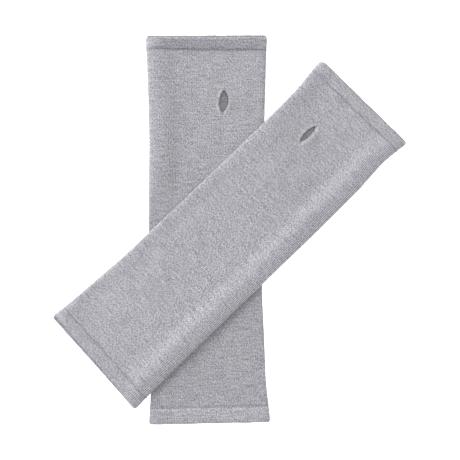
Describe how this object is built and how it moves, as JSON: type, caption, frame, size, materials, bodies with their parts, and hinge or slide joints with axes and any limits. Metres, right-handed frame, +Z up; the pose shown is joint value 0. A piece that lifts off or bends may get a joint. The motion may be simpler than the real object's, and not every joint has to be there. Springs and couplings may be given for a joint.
{
  "type": "pair of knitted arm warmers",
  "caption": "Pair of fine-knit wool arm warmers with thumb slits and doubled bands, lying flat with one crossed over the other.",
  "frame": {"origin": "middle of the pair's footprint, on the surface it lies on", "axes": "+Z up off the surface, +Y towards the under warmer's hand end, +X towards the over warmer's hand end"},
  "size_m": [0.3104, 0.343, 0.0095],
  "materials": {
    "wool_jersey": "fine plain-knit wool, heathered light grey, matt with a soft nap",
    "wool_band": "the same wool jersey, doubled and sewn down as a band"
  },
  "bodies": {
    "root": {"under_tube": "wool_jersey", "under_hand_band": "wool_band", "under_arm_band": "wool_band", "over_tube": "wool_jersey", "over_hand_band": "wool_band", "over_arm_band": "wool_band"}
  },
  "joints": []
}
